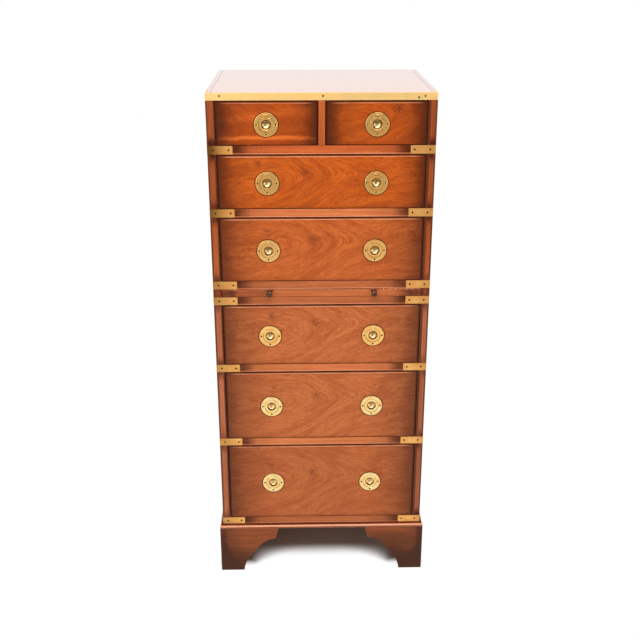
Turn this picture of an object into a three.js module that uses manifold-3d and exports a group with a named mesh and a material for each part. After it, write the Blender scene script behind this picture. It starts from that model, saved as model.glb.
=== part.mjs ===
// A tall, narrow campaign chest of drawers, veneered and bound with brass.
// Two short drawers stand over five long ones, with a brushing slide under the
// third row, and the whole rests on a plinth board and four bracket feet.
// Millimetres, +Z up. The front faces -Y and the origin is on the floor, under
// the middle of the chest. Inside each group y = 0 is the face of the carcass.

import * as THREE from 'three';
import { mergeVertices } from 'three/addons/utils/BufferGeometryUtils.js';
import Module from 'manifold-3d';

const wasm = await Module();
wasm.setup();

// Carcass
const carcass_width = 460;
const carcass_depth = 378;
const side_thickness = 17.5;
const corner_round = 2;
const top_thickness = 15;
const back_thickness = 8;
const back_rebate = 8;
const divider_thickness = 13.5;

// Clear height of each row, from the top down
const row_1_height = 89.2;
const row_2_height = 113;
const row_3_height = 139.4;
const slide_row_height = 18.2;
const row_4_height = 139.4;
const row_5_height = 164.8;
const row_6_height = 190.5;

// Rail frames between the rows: front rail, two runners, back rail, dust panel
const rail_height = 17.2;
const front_rail_depth = 45;
const back_rail_depth = 40;
const runner_width = 38;
const centre_runner_width = 70;
const dust_panel_thickness = 6;
const housing_depth = 6;

// Brass band let into the edge of the top
const band_thickness = 2;
const band_return = 51;

// Plinth board and bracket feet
const plinth_height = 9.4;
const plinth_projection = 7.25;
const plinth_round = 6;
const foot_height = 115.4;
const foot_length = 136;
const foot_thickness = 18;
const foot_block_width = 30;
const foot_block_lift = 14;

// Drawers
const front_thickness = 19;
const front_chamfer = 1;
const front_lap = 5;
const drawer_side_thickness = 10;
const drawer_back_thickness = 10;
const drawer_bottom_thickness = 6;
const drawer_bottom_lift = 6;
const groove_depth = 6;
const side_top_drop = 4;
const back_top_drop = 12;
const tail_pitch = 44;
const tail_flare = 2;
const tail_share = 0.76;

// Brushing slide and its two knobs
const slide_back_gap = 35;
const knob_radius = 6.4;
const knob_reach = 13;
const knob_head_depth = 8;
const knob_neck_radius = 3.4;
const knob_flange_radius = 4.6;
const knob_flange_thickness = 1.6;
const knob_spigot_radius = 2.2;
const knob_spigot_length = 12;

// Flush ring handles
const handle_offset = 111;
const handle_drop = 3;
const plate_radius = 24;
const plate_thickness = 4.2;
const plate_proud = 0.5;
const plate_chamfer = 0.6;
const ring_outer_radius = 15;
const ring_inner_radius = 10;
const ring_thickness = 2.4;
const lug_width = 9;
const pivot_height = 19.5;
const stub_radius = 0.8;
const stub_length = 1.4;
const cup_radius = 10;
const cup_depth = 7;
const cup_wall = 2;
const screw_circle_radius = 19.2;
const sink_radius = 2.4;
const sink_depth = 1.4;

// Clearances
const glue_gap = 0.3;
const running_gap = 0.4;
const drawer_gap = 1;
const stop_gap = 0.6;
const pivot_gap = 0.3;
const overrun = 5;

// Facets of a whole circle, and steps of a short arc
const round_sides = 16;
const small_sides = 8;
const arc_steps = 3;

// Bracket outline, from the corner along its length and up from the floor
const toe_share = 0.397;
const flare_shares = [0.426, 0.29];
const notch_shares = [0.603, 0.459];
const ogee_shares = [0.706, 0.713];
const cusp_shares = [0.956, 0.767];
const plain_bracket_share = 0.8;

// Worked out from the sizes above
const outer_x = carcass_width / 2;
const inner_x = outer_x - side_thickness;
const back_face_y = carcass_depth - back_thickness;
const slide_depth = back_face_y - slide_back_gap;
const plinth_top = foot_height + plinth_height;
const plinth_x = outer_x + plinth_projection;
const front_reach = Math.max(knob_reach, plinth_projection);
const ring_set = pivot_gap;
const lug_radius = ring_thickness / 2;
const pivot_depth = ring_set + lug_radius;
const recess_depth = ring_set + ring_thickness + pivot_gap;
const cup_body_radius = cup_radius + cup_wall;
const cup_body_depth = recess_depth + cup_depth + cup_wall;
const handleHeight = (row) => row.height / 2 - handle_drop;

// The rows, from the top down, each with the piece that it stands on
const rows = [
  { name: 'drawer_1', height: row_1_height, rail: 'rail_frame_1' },
  { name: 'drawer_2', height: row_2_height, rail: 'rail_frame_2' },
  { name: 'drawer_3', height: row_3_height, rail: 'rail_frame_3' },
  { name: 'slide', height: slide_row_height, rail: 'rail_frame_4' },
  { name: 'drawer_4', height: row_4_height, rail: 'rail_frame_5' },
  { name: 'drawer_5', height: row_5_height, rail: 'rail_frame_6' },
  { name: 'drawer_6', height: row_6_height, rail: 'bottom_board' },
];
let level = plinth_top;
for (const row of [...rows].reverse()) {
  row.rail_z = level;
  row.floor_z = level + rail_height;
  level = row.floor_z + row.height;
}
const top_underside = level;
const top_z = top_underside + top_thickness;
const [top_row] = rows;
const slide_row = rows.find((row) => row.name === 'slide');
const long_rows = rows.filter((row) => row !== top_row && row !== slide_row);

// Finishes
const finish = (color, roughness, metalness) =>
  () => new THREE.MeshStandardMaterial({ color, roughness, metalness });
const finishes = {
  veneer: finish(0xb4683a, 0.35, 0),
  front_veneer: finish(0xbe642e, 0.3, 0),
  edge_wood: finish(0xa65f3c, 0.4, 0),
  foot_wood: finish(0x7a4a38, 0.4, 0),
  lining_wood: finish(0xc9a06a, 0.6, 0),
  back_wood: finish(0xa9824f, 0.75, 0),
  brass: finish(0xd9a955, 0.3, 0.9),
  bronze: finish(0x2c2320, 0.45, 0.6),
};

// Turns a closed geometry into a solid that can be cut and joined
function solidOf(geometry) {
  const bare = geometry.clone();
  bare.deleteAttribute('normal');
  bare.deleteAttribute('uv');
  const merged = mergeVertices(bare);
  const triangles = [];
  for (let i = 0; i < merged.index.count; i += 3) {
    const [a, b, c] = [0, 1, 2].map((corner) => merged.index.getX(i + corner));
    if (a !== b && b !== c && c !== a) triangles.push(a, b, c);
  }
  return new wasm.Manifold(new wasm.Mesh({
    numProp: 3,
    vertProperties: new Float32Array(merged.attributes.position.array),
    triVerts: new Uint32Array(triangles),
  }));
}

function geometryOf(solid) {
  const mesh = solid.getMesh();
  const geometry = new THREE.BufferGeometry();
  const position = new Float32Array(mesh.vertProperties);
  geometry.setAttribute('position', new THREE.BufferAttribute(position, 3));
  geometry.setIndex(new THREE.BufferAttribute(new Uint32Array(mesh.triVerts), 1));
  geometry.computeVertexNormals();
  return geometry;
}

// A square-edged block between two corners, given in either order
function block([xa, xb], [ya, yb], [za, zb]) {
  const size = [xb - xa, yb - ya, zb - za].map(Math.abs);
  const geometry = new THREE.BoxGeometry(...size);
  geometry.translate((xa + xb) / 2, (ya + yb) / 2, (za + zb) / 2);
  return solidOf(geometry);
}

// A round bar along Y or X, between two stations, about a centre line
function barAlongY(radius, [ya, yb], x, z, sides = round_sides) {
  const geometry = new THREE.CylinderGeometry(radius, radius, yb - ya, sides);
  geometry.translate(x, (ya + yb) / 2, z);
  return solidOf(geometry);
}

function barAlongX(radius, half_length, y, z) {
  const geometry = new THREE.CylinderGeometry(radius, radius, 2 * half_length, small_sides);
  geometry.rotateZ(Math.PI / 2);
  geometry.translate(0, y, z);
  return solidOf(geometry);
}

// A flat outline drawn out along one axis; its points are [x, y], [x, z] or [y, z]
const x_axis = new THREE.Vector3(1, 0, 0);
const y_axis = new THREE.Vector3(0, 1, 0);
const z_axis = new THREE.Vector3(0, 0, 1);

function drawnOut(points, axes, start, length) {
  const shape = new THREE.Shape(points.map(([u, v]) => new THREE.Vector2(u, v)));
  const geometry = new THREE.ExtrudeGeometry(shape, { depth: length, bevelEnabled: false });
  geometry.applyMatrix4(new THREE.Matrix4().makeBasis(...axes));
  geometry.translate(...axes[2].clone().multiplyScalar(start).toArray());
  return solidOf(geometry);
}

const planDrawnUp = (points, [za, zb]) =>
  drawnOut(points, [x_axis, y_axis, z_axis], za, zb - za);
const elevationDrawnBack = (points, [ya, yb]) =>
  drawnOut(points, [x_axis, z_axis, y_axis.clone().negate()], -yb, yb - ya);
const sectionDrawnAcross = (points, [xa, xb]) =>
  drawnOut(points, [y_axis, z_axis, x_axis], Math.min(xa, xb), Math.abs(xb - xa));

// Points of a quarter turn about a centre, from one bearing to the next
function quarterTurn(cx, cy, radius, from) {
  return Array.from({ length: arc_steps + 1 }, (_, i) => {
    const angle = from + (Math.PI / 2) * (i / arc_steps);
    return [cx + radius * Math.cos(angle), cy + radius * Math.sin(angle)];
  });
}

// Left is -1 and right is +1
const hands = { left: -1, right: 1 };

// The plan of the whole carcass, with its two front corners eased
function carcassPlan() {
  const centre_x = outer_x - corner_round;
  const right = quarterTurn(centre_x, corner_round, corner_round, -Math.PI / 2);
  const left = quarterTurn(-centre_x, corner_round, corner_round, -Math.PI);
  return [...left, ...right, [outer_x, carcass_depth], [-outer_x, carcass_depth]];
}

// One side: a full board, housed for every rail and rebated for the back
function carcassSide(hand) {
  const span_z = [plinth_top + glue_gap, top_underside - glue_gap];
  const half = block(
    [hand * inner_x, hand * (outer_x + overrun)],
    [-overrun, carcass_depth + overrun],
    span_z,
  );
  let side = planDrawnUp(carcassPlan(), span_z).intersect(half);
  for (const row of rows) {
    side = side.subtract(block(
      [hand * (inner_x - overrun), hand * (inner_x + housing_depth)],
      [-overrun, carcass_depth + overrun],
      [row.rail_z - glue_gap, row.floor_z + glue_gap],
    ));
  }
  return side.subtract(block(
    [hand * (inner_x - overrun), hand * (inner_x + back_rebate)],
    [back_face_y - glue_gap, carcass_depth + overrun],
    [plinth_top - overrun, top_underside + overrun],
  ));
}

// A rail with its runners and dust panel, as one frame housed in both sides
function railFrame(row) {
  const half_width = inner_x + housing_depth - glue_gap;
  const depth = back_face_y - glue_gap;
  const floor_z = row.rail_z === plinth_top ? plinth_top + glue_gap : row.rail_z;
  const hollow_y = [front_rail_depth, depth - back_rail_depth];
  const hollow_x = inner_x - runner_width;
  const hollows = row === top_row
    ? [[-hollow_x, -centre_runner_width / 2], [centre_runner_width / 2, hollow_x]]
    : [[-hollow_x, hollow_x]];
  const panel_z = row.rail_z + (rail_height - dust_panel_thickness) / 2;
  let frame = block([-half_width, half_width], [0, depth], [floor_z, row.floor_z]);
  for (const span of hollows) {
    const above = [panel_z + dust_panel_thickness, row.floor_z + overrun];
    const below = [row.rail_z - overrun, panel_z];
    frame = frame.subtract(block(span, hollow_y, above));
    if (row.rail !== 'bottom_board') frame = frame.subtract(block(span, hollow_y, below));
  }
  return frame;
}

// The top board, and the brass band that laps its front and both front corners
function topPieces() {
  const span_z = [top_underside, top_z];
  const slab = planDrawnUp(carcassPlan(), span_z);
  const core_x = outer_x - band_thickness;
  const tall_z = [top_underside - overrun, top_z + overrun];
  const core = block([-core_x, core_x], [band_thickness, carcass_depth + overrun], tall_z);
  const behind = block([-plinth_x, plinth_x], [band_return, carcass_depth + overrun], tall_z);
  const board_x = core_x - glue_gap;
  const board_core = block(
    [-board_x, board_x],
    [band_thickness + glue_gap, carcass_depth + overrun],
    tall_z,
  );
  const board_behind = block(
    [-plinth_x, plinth_x],
    [band_return + glue_gap, carcass_depth + overrun],
    tall_z,
  );
  return {
    band: slab.subtract(core).subtract(behind),
    board: slab.intersect(board_core.add(board_behind)),
  };
}

// The plinth board under the carcass, with its upper edge rounded at three sides
function plinthBoard() {
  const span_x = [-plinth_x, plinth_x];
  const span_y = [-plinth_projection, carcass_depth];
  const shoulder = plinth_top - plinth_round;
  const right = quarterTurn(plinth_x - plinth_round, shoulder, plinth_round, 0);
  const left = quarterTurn(plinth_round - plinth_x, shoulder, plinth_round, Math.PI / 2);
  const front_turn = quarterTurn(
    plinth_round - plinth_projection, shoulder, plinth_round, Math.PI / 2,
  );
  const across = [[-plinth_x, foot_height], [plinth_x, foot_height], ...right, ...left];
  const section = [
    [-plinth_projection, foot_height], [carcass_depth, foot_height],
    [carcass_depth, plinth_top], ...front_turn,
  ];
  return elevationDrawnBack(across, span_y).intersect(sectionDrawnAcross(section, span_x));
}

// A bracket's outline, as distances from its corner and from the floor
function bracketOutline(scrolled) {
  const height = foot_height - glue_gap;
  const toe = [toe_share * foot_length, 0];
  if (!scrolled) return [[0, 0], toe, [plain_bracket_share * foot_length, height], [0, height]];
  const path = new THREE.Path();
  const place = ([along, up]) => [along * foot_length, up * height];
  path.moveTo(...toe);
  path.quadraticCurveTo(...place(flare_shares), ...place(notch_shares));
  path.quadraticCurveTo(...place(ogee_shares), ...place(cusp_shares));
  path.lineTo(foot_length, height);
  const scroll = path.getPoints(arc_steps).map((point) => point.toArray());
  return [[0, 0], ...scroll, [0, height]];
}

// A bracket foot: a front or back bracket, a side bracket and a block in the corner
function bracketFoot(hand, at_front) {
  const corner_y = at_front ? -plinth_projection : carcass_depth;
  const inward = at_front ? 1 : -1;
  const along_x = bracketOutline(at_front).map(([u, v]) => [hand * (plinth_x - u), v]);
  const along_y = bracketOutline(true).map(([u, v]) => [corner_y + inward * u, v]);
  const inner_y = corner_y + inward * foot_thickness;
  const cross = elevationDrawnBack(along_x, [corner_y, inner_y].sort((a, b) => a - b));
  const flank = sectionDrawnAcross(along_y, [hand * plinth_x, hand * (plinth_x - foot_thickness)]);
  const seat = foot_thickness / 2;
  const reach = foot_thickness + foot_block_width;
  const corner_block = block(
    [hand * (plinth_x - seat), hand * (plinth_x - reach)],
    [corner_y + inward * seat, corner_y + inward * reach],
    [foot_block_lift, foot_height - glue_gap],
  );
  return cross.add(flank).add(corner_block);
}

// The dovetails of a drawer side, as [y, z] outlines grown by a clearance
function tailOutlines(row, grow) {
  const low = running_gap;
  const high = row.height - side_top_drop;
  const count = Math.max(1, Math.round((high - low) / tail_pitch));
  const pitch = (high - low) / count;
  const wide = (pitch * tail_share) / 2 + grow;
  const narrow = wide - tail_flare;
  const tip = front_lap + glue_gap - grow;
  const root = front_thickness + glue_gap;
  const embedded = root + drawer_side_thickness;
  return Array.from({ length: count }, (_, i) => {
    const z = low + pitch * (i + 0.5);
    return [
      [tip, z - wide], [root, z - narrow], [embedded, z - narrow],
      [embedded, z + narrow], [root, z + narrow], [tip, z + wide],
    ];
  });
}

// A board seen from the front, with the arrises of its face eased all round
function easedBoard(half, [z0, z1], depth) {
  const plan = [
    [-half, depth], [-half, front_chamfer], [front_chamfer - half, 0],
    [half - front_chamfer, 0], [half, front_chamfer], [half, depth],
  ];
  const section = [
    [depth, z0], [front_chamfer, z0], [0, z0 + front_chamfer],
    [0, z1 - front_chamfer], [front_chamfer, z1], [depth, z1],
  ];
  return planDrawnUp(plan, [z0, z1]).intersect(sectionDrawnAcross(section, [-half, half]));
}

// A drawer front: cut for the dovetails, the drawer bottom and the handles
function drawerFront(row, width, handle_xs) {
  const half = width / 2;
  const inside_x = half - drawer_side_thickness;
  let front = easedBoard(half, [drawer_gap, row.height - drawer_gap], front_thickness);
  for (const hand of Object.values(hands)) {
    for (const outline of tailOutlines(row, glue_gap)) {
      const span = [hand * (inside_x - glue_gap), hand * (half + overrun)];
      front = front.subtract(sectionDrawnAcross(outline, span));
    }
  }
  const groove_z = running_gap + drawer_bottom_lift;
  front = front.subtract(block(
    [-inside_x - glue_gap, inside_x + glue_gap],
    [front_thickness - groove_depth, front_thickness + overrun],
    [groove_z - glue_gap, groove_z + drawer_bottom_thickness + glue_gap],
  ));
  const handle_z = handleHeight(row);
  const plate_end = plate_thickness - plate_proud + glue_gap;
  const cup_end = cup_body_depth - plate_proud + glue_gap;
  for (const x of handle_xs) {
    const plate_hole = barAlongY(plate_radius + glue_gap, [-overrun, plate_end], x, handle_z);
    const cup_hole = barAlongY(cup_body_radius + glue_gap, [-overrun, cup_end], x, handle_z);
    front = front.subtract(plate_hole).subtract(cup_hole);
  }
  return front;
}

// The rest of a drawer: two dovetailed sides, the back and the bottom, glued up
function drawerBox(row, width) {
  const half = width / 2;
  const inside_x = half - drawer_side_thickness;
  const end_y = back_face_y - stop_gap;
  const bottom_z = running_gap + drawer_bottom_lift;
  const back_x = half - drawer_side_thickness / 2;
  let box = block(
    [-back_x, back_x],
    [end_y - drawer_back_thickness, end_y],
    [bottom_z, row.height - back_top_drop],
  );
  box = box.add(block(
    [-inside_x, inside_x],
    [front_thickness - groove_depth + glue_gap, end_y],
    [bottom_z, bottom_z + drawer_bottom_thickness],
  ));
  for (const hand of Object.values(hands)) {
    const span = [hand * inside_x, hand * half];
    const side_z = [running_gap, row.height - side_top_drop];
    box = box.add(block(span, [front_thickness + glue_gap, end_y], side_z));
    for (const outline of tailOutlines(row, 0)) {
      box = box.add(sectionDrawnAcross(outline, span));
    }
  }
  return box;
}

// The brushing slide, bored in its front edge for the two knobs
function slideBoard() {
  const half = inner_x - drawer_gap;
  let board = easedBoard(half, [running_gap, slide_row.height - drawer_gap], slide_depth);
  for (const hand of Object.values(hands)) {
    const bore = barAlongY(
      knob_spigot_radius + glue_gap,
      [-overrun, knob_spigot_length + glue_gap],
      hand * handle_offset,
      slide_row.height / 2,
      small_sides,
    );
    board = board.subtract(bore);
  }
  return board;
}

// A profile of [radius, y] points turned about Y, from its front end to its back end
function turned(profile, sides) {
  const points = profile.map(([radius, y]) => new THREE.Vector2(radius, y));
  return solidOf(new THREE.LatheGeometry(points, sides));
}

// A small turned knob on a round spigot
function slideKnob() {
  const steps = 2 * arc_steps;
  const head = Array.from({ length: steps }, (_, i) => {
    const angle = Math.PI * (i / steps);
    const y = (knob_head_depth / 2) * (1 - Math.cos(angle)) - knob_reach;
    return [knob_radius * Math.sin(angle), y];
  }).filter(([radius], i) => i < arc_steps || radius > knob_neck_radius);
  const flange_front = -glue_gap - knob_flange_thickness;
  return turned([
    ...head,
    [knob_neck_radius, knob_head_depth - knob_reach],
    [knob_neck_radius, flange_front],
    [knob_flange_radius, flange_front],
    [knob_flange_radius, -glue_gap],
    [knob_spigot_radius, -glue_gap],
    [knob_spigot_radius, knob_spigot_length],
    [0, knob_spigot_length],
  ], round_sides);
}

// Flush handle plate, cast with a recess for the ring, a slot for its lug and a
// sunk cup for the fingertip. Here y = 0 is the face of the plate.
function handlePlate() {
  const ring_recess_radius = ring_outer_radius + pivot_gap;
  const cup = Array.from({ length: arc_steps + 1 }, (_, i) => {
    const angle = (Math.PI / 2) * (1 - i / arc_steps);
    const radius = i === 0 ? 0 : cup_radius * Math.cos(angle);
    return [radius, recess_depth + cup_depth * Math.sin(angle)];
  });
  let plate = turned([
    ...cup,
    [ring_recess_radius, recess_depth],
    [ring_recess_radius, 0],
    [plate_radius - plate_chamfer, 0],
    [plate_radius, plate_chamfer],
    [plate_radius, plate_thickness],
    [cup_body_radius, plate_thickness],
    [cup_body_radius, cup_body_depth],
    [0, cup_body_depth],
  ], round_sides);
  const slot_x = lug_width / 2 + pivot_gap;
  const slot_z = [ring_inner_radius, pivot_height + lug_radius + pivot_gap];
  plate = plate.subtract(block([-slot_x, slot_x], [-overrun, recess_depth], slot_z));
  plate = plate.subtract(
    barAlongX(stub_radius + pivot_gap, slot_x + stub_length, pivot_depth, pivot_height),
  );
  for (const bearing of [0, -Math.PI / 2, Math.PI]) {
    const sink = new THREE.ConeGeometry(2 * sink_radius, 2 * sink_depth, small_sides);
    const x = screw_circle_radius * Math.cos(bearing);
    const z = screw_circle_radius * Math.sin(bearing);
    plate = plate.subtract(solidOf(sink.translate(x, 0, z)));
  }
  return plate;
}

// The flat ring, with a lug at its top that turns on two short stubs
function handleRing() {
  const span_y = [ring_set, ring_set + ring_thickness];
  const hoop = barAlongY(ring_outer_radius, span_y, 0, 0)
    .subtract(barAlongY(ring_inner_radius, [-overrun, overrun + ring_thickness], 0, 0));
  const root_z = (ring_inner_radius + ring_outer_radius) / 2;
  const lug = sectionDrawnAcross([
    [span_y[0], root_z],
    [span_y[1], root_z],
    ...quarterTurn(pivot_depth, pivot_height, lug_radius, 0),
    ...quarterTurn(pivot_depth, pivot_height, lug_radius, Math.PI / 2).slice(1),
  ], [-lug_width / 2, lug_width / 2]);
  const stubs = barAlongX(stub_radius, lug_width / 2 + stub_length, pivot_depth, pivot_height);
  return hoop.add(lug).add(stubs);
}

function add(parent, name, geometry, finish_name) {
  const mesh = new THREE.Mesh(geometry, finishes[finish_name]());
  mesh.name = name;
  parent.add(mesh);
  return mesh;
}

// The fixed carcass
const carcass = new THREE.Group();
const { board, band } = topPieces();
add(carcass, 'top_board', geometryOf(board), 'veneer');
add(carcass, 'top_band', geometryOf(band), 'brass');
add(carcass, 'plinth_board', geometryOf(plinthBoard()), 'edge_wood');
add(carcass, 'back_panel', geometryOf(block(
  [glue_gap - inner_x - back_rebate, inner_x + back_rebate - glue_gap],
  [back_face_y, carcass_depth],
  [plinth_top + glue_gap, top_underside - glue_gap],
)), 'back_wood');
add(carcass, 'divider', geometryOf(block(
  [-divider_thickness / 2, divider_thickness / 2],
  [0, back_face_y - glue_gap],
  [top_row.floor_z + glue_gap, top_underside - glue_gap],
)), 'edge_wood');
for (const row of rows) {
  add(carcass, row.rail, geometryOf(railFrame(row)), 'edge_wood');
}
for (const [side, hand] of Object.entries(hands)) {
  add(carcass, `side_${side}`, geometryOf(carcassSide(hand)), 'veneer');
  add(carcass, `foot_front_${side}`, geometryOf(bracketFoot(hand, true)), 'foot_wood');
  add(carcass, `foot_back_${side}`, geometryOf(bracketFoot(hand, false)), 'foot_wood');
}

// The brushing slide, in its own opening
const slide = new THREE.Group();
slide.position.z = slide_row.floor_z;
add(slide, 'brushing_slide', geometryOf(slideBoard()), 'front_veneer');
const knob_geometry = geometryOf(slideKnob());
for (const [side, hand] of Object.entries(hands)) {
  const knob = add(slide, `slide_knob_${side}`, knob_geometry, 'bronze');
  knob.position.set(hand * handle_offset, 0, slide_row.height / 2);
}

// The drawers, each with its handles, as a group at the floor of its opening
const plate_geometry = geometryOf(handlePlate());
const ring_geometry = geometryOf(handleRing());

function addHandle(drawer, name, x, z) {
  const handle = new THREE.Group();
  handle.position.set(x, -plate_proud, z);
  add(handle, `${name}_plate`, plate_geometry, 'brass');
  add(handle, `${name}_ring`, ring_geometry, 'brass');
  drawer.add(handle);
}

function drawerGroup(row, name, centre_x, width, handle_sides) {
  const drawer = new THREE.Group();
  drawer.position.set(centre_x, 0, row.floor_z);
  const places = handle_sides.map((side) => hands[side] * handle_offset - centre_x);
  add(drawer, `${name}_front`, geometryOf(drawerFront(row, width, places)), 'front_veneer');
  add(drawer, `${name}_box`, geometryOf(drawerBox(row, width)), 'lining_wood');
  handle_sides.forEach((side, i) => {
    const handle_name = `${row.name.replace('drawer', 'handle')}_${side}`;
    addHandle(drawer, handle_name, places[i], handleHeight(row));
  });
  return drawer;
}

const drawers = new THREE.Group();
const short_opening = inner_x - divider_thickness / 2;
for (const [side, hand] of Object.entries(hands)) {
  const centre_x = hand * (divider_thickness + short_opening) / 2;
  const width = short_opening - 2 * drawer_gap;
  drawers.add(drawerGroup(top_row, `${top_row.name}_${side}`, centre_x, width, [side]));
}
for (const row of long_rows) {
  const width = 2 * (inner_x - drawer_gap);
  drawers.add(drawerGroup(row, row.name, 0, width, Object.keys(hands)));
}

// The whole chest stands with its origin under the middle of its bounding box
const chest = new THREE.Group();
chest.add(carcass, slide, drawers);
for (const group of chest.children) group.position.y = (front_reach - carcass_depth) / 2;

export default chest;
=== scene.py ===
"""Finishes and fine detail for a tall campaign chest of drawers bound in brass."""

import math

import bmesh
import bpy
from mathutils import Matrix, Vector


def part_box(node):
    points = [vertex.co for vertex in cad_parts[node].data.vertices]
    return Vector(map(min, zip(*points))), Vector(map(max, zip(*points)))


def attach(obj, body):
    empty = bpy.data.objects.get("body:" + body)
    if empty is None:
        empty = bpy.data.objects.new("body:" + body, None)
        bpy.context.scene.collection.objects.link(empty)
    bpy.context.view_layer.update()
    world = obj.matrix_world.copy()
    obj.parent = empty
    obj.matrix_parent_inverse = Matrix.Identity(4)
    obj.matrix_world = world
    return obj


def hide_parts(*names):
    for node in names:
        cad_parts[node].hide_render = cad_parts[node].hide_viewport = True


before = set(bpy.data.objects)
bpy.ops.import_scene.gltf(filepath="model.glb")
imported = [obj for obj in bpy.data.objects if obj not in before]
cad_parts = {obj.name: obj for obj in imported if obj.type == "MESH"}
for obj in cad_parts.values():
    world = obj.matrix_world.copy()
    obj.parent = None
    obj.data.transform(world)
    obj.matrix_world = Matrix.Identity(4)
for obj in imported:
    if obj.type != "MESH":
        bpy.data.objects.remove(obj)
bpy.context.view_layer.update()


# Bracket feet. Each foot is two brackets of stained mahogany, sawn to an ogee and
# mitred at the corner, with a square softwood block glued into the angle behind.
# The front feet show the ogee twice; a back foot has a plain bracket at the back.
bracket_thickness = 0.018
bracket_ease = 0.0009
toe_share = 0.397
plain_share = 0.8
tip_rise = 0.0012
block_width = 0.03
block_lift = 0.014
block_ease = 0.0015
foot_stain = ((150, 77, 38), (126, 62, 30), (38, 16, 10))
touching = 1e-5
stood_up = (math.radians(90), 0, 0)
warm_sheen = (1.0, 0.76, 0.58, 1.0)


def only(piece):
    """Selects one piece and nothing else."""
    bpy.ops.object.select_all(action="DESELECT")
    piece.select_set(True)
    bpy.context.view_layer.objects.active = piece


def open_up(piece):
    only(piece)
    bpy.ops.object.mode_set(mode="EDIT")


def close_up():
    bpy.ops.object.mode_set(mode="OBJECT")


def pick_all():
    bpy.ops.mesh.select_all(action="SELECT")


def pick(piece, kind, wanted):
    """While a piece is open, selects just its wanted verts, edges or faces."""
    modes = {"verts": "VERT", "edges": "EDGE", "faces": "FACE"}
    bpy.ops.mesh.select_mode(type=modes[kind])
    bpy.ops.mesh.select_all(action="DESELECT")
    mesh = bmesh.from_edit_mesh(piece.data)
    for item in getattr(mesh, kind):
        if wanted(item):
            item.select_set(True)
    mesh.select_flush_mode()
    bmesh.update_edit_mesh(piece.data)


def settle(piece):
    """Puts a piece's place, turn and size into its mesh."""
    only(piece)
    bpy.ops.object.transform_apply(location=True, rotation=True, scale=True)


def fresh(name, add, scale=(1, 1, 1), **options):
    """A new simple shape from one of Blender's own, ready to be worked."""
    bpy.ops.object.select_all(action="DESELECT")
    add(**options)
    piece = bpy.context.object
    piece.name = name
    piece.scale = scale
    settle(piece)
    return piece


def sheet(name, place, width, height, turn=stood_up):
    """A flat sheet, stood up to face forward unless it is turned some other way."""
    return fresh(name, bpy.ops.mesh.primitive_plane_add, (width, height, 1),
                 size=1, location=place, rotation=turn)


def board(name, corner, other):
    """A square block between two opposite corners."""
    size = [abs(b - a) for a, b in zip(corner, other)]
    middle = (Vector(corner) + Vector(other)) / 2
    return fresh(name, bpy.ops.mesh.primitive_cube_add, size, size=1, location=middle)


def work(piece, kind, **options):
    """Works a piece with one modifier and keeps the result."""
    only(piece)
    tool = piece.modifiers.new(kind, kind)
    for option, value in options.items():
        setattr(tool, option, value)
    bpy.ops.object.modifier_apply(modifier=tool.name)


def seal(piece):
    """Joins the doubled corners of a piece and turns its faces outward."""
    open_up(piece)
    pick_all()
    bpy.ops.mesh.remove_doubles(threshold=touching / 10)
    bpy.ops.mesh.normals_make_consistent(inside=False)
    close_up()


def thicken(bent, thickness, outward):
    """Gives a bent sheet its thickness, behind the side that looks outward."""
    seal(bent)
    front = max(bent.data.polygons, key=lambda p: abs(p.normal.y))
    if front.normal.y * outward < 0:
        open_up(bent)
        pick_all()
        bpy.ops.mesh.flip_normals()
        close_up()
    work(bent, "SOLIDIFY", thickness=thickness, offset=-1, use_even_offset=True)


def ease(piece, width, segments=2, angle=40):
    """Rounds every arris of a piece that is sharper than the angle."""
    work(piece, "BEVEL", width=width, segments=segments, limit_method="ANGLE",
         angle_limit=math.radians(angle), use_clamp_overlap=True)


def smooth(piece, angle=40):
    only(piece)
    bpy.ops.object.shade_smooth_by_angle(angle=math.radians(angle))


def dress(piece, finish, body, slot, *nodes):
    """Gives a piece its finish and its body, and hides the nodes it stands for."""
    work(piece, "WEIGHTED_NORMAL", weight=100, keep_sharp=True)
    piece.data.materials.clear()
    piece.data.materials.append(finish)
    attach(piece, body)
    if nodes:
        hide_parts(*nodes)


def refinish(piece, finish, wanted):
    """Gives the wanted faces of a dressed piece another finish."""
    piece.data.materials.append(finish)
    last = len(piece.data.materials) - 1
    for face in piece.data.polygons:
        if wanted(face):
            face.material_index = last


class Varying:
    """A number, a place or a colour that varies over a surface."""

    def __init__(self, socket):
        self.socket = socket

    def lay(self, kind, feeds, out=0, **options):
        return lay(self.socket.id_data, kind, feeds, out, **options)

    def reckon(self, operation, *others):
        """One sum on this number and others."""
        return self.lay("Math", dict(enumerate((self,) + others)), operation=operation)

    def __add__(self, other):
        return self.reckon("ADD", other)

    def __sub__(self, other):
        return self.reckon("SUBTRACT", other)

    def __rsub__(self, other):
        return self.lay("Math", {0: other, 1: self}, operation="SUBTRACT")

    def __mul__(self, other):
        return self.reckon("MULTIPLY", other)

    def __truediv__(self, other):
        return self.reckon("DIVIDE", other)

    def __abs__(self):
        return self.reckon("ABSOLUTE")

    def axis(self, name):
        return self.lay("SeparateXYZ", {0: self}, name)

    def fade(self, start, end, low=0, high=1):
        """A soft change from low to high while this number goes from start to end."""
        feeds = {"Value": self, "From Min": start, "From Max": end, "To Min": low, "To Max": high}
        return self.lay("MapRange", feeds, interpolation_type="SMOOTHSTEP")


def wire(tree, socket, value):
    """Feeds a socket with what varies, or sets it to a steady value."""
    if isinstance(value, Varying):
        tree.links.new(value.socket, socket)
    else:
        socket.default_value = value


def lay(tree, kind, feeds, out=0, **options):
    """Adds one node with its options and feeds, and gives what comes out of it."""
    made = tree.nodes.new("ShaderNode" + kind)
    for option, value in options.items():
        setattr(made, option, value)
    for socket, value in feeds.items():
        wire(tree, made.inputs[socket], value)
    return Varying(made.outputs[out]) if made.outputs else None


def larger(first, *others):
    for other in others:
        first = first.reckon("MAXIMUM", other)
    return first


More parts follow.
